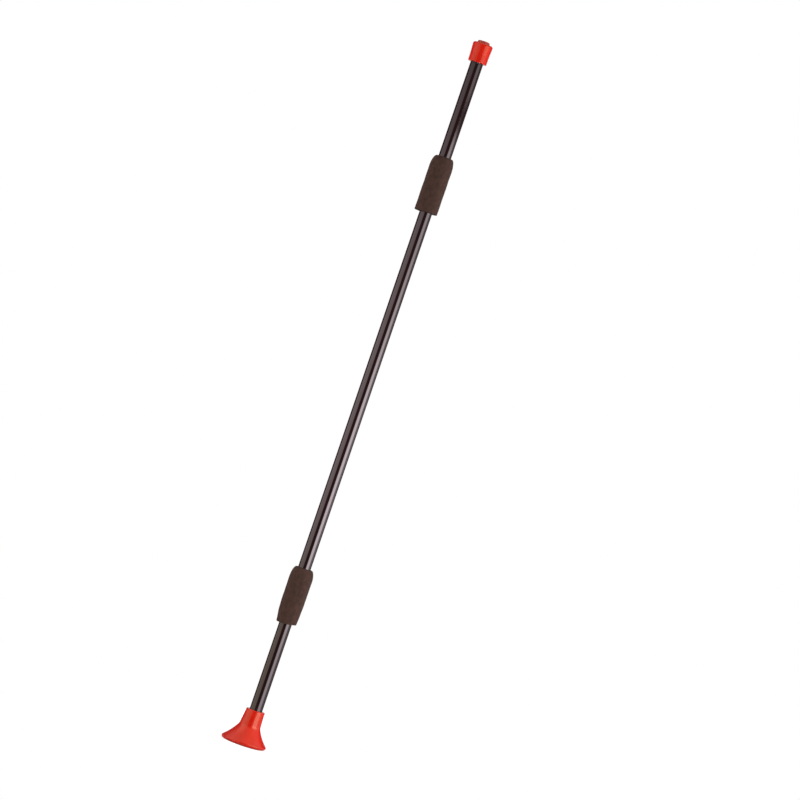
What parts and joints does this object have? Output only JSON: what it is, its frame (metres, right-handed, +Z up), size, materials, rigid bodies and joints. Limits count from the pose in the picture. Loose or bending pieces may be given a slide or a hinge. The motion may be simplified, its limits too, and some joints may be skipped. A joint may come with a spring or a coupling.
{
  "type": "door security bar",
  "caption": "Telescoping door security bar: painted steel tube with a flared rubber foot, foam grips and a rubber cap; turning the cap locks its length.",
  "frame": {"origin": "middle of the foot's sole, on the floor", "axes": "+Z up the bar from the foot to the cap; X and Y across it, which the bar has no front for"},
  "size_m": [0.0674, 0.0674, 1.0831],
  "materials": {
    "tube_paint": "gloss",
    "red_rubber": "satin",
    "foam": "matte",
    "button_rubber": "matte",
    "plated_tube": "satin",
    "zinc_steel": "satin",
    "nylon": "satin",
    "black_nylon": "satin",
    "black_rubber": "matte"
  },
  "bodies": {
    "outer": {"outer_tube": "tube_paint", "foot": "red_rubber", "foot_washer": "zinc_steel", "lower_grip": "foam", "upper_grip": "foam", "mouth_bush": "black_nylon"},
    "lock": {"expander_sleeve": "nylon", "drag_ring": "black_rubber"},
    "wedge": {"wedge_nut": "black_nylon"},
    "inner": {"inner_tube": "plated_tube", "top_insert": "nylon", "cap_washer": "zinc_steel", "top_cap": "red_rubber", "cap_button": "button_rubber", "screw_plug": "nylon", "front_pin": "zinc_steel", "back_pin": "zinc_steel", "lock_screw": "zinc_steel", "lock_washer": "zinc_steel", "stop_nut": "zinc_steel"}
  },
  "joints": [
    {"name": "extend", "type": "slide", "parent": "outer", "child": "lock", "axis": [0, 0, 1], "range_m": [0, 0.249]},
    {"name": "twist_lock", "type": "hinge", "parent": "lock", "child": "inner", "pos_m": [0, 0, 0.7388], "axis": [0, 0, 1], "range_deg": [0, 540]},
    {"name": "wedge_travel", "type": "slide", "parent": "lock", "child": "wedge", "axis": [0, 0, 1], "range_m": [-0.0012, 0]}
  ],
  "couplings": [
    {"joint": "wedge_travel", "follows": "twist_lock", "m_per_rad": -0.00012732}
  ]
}
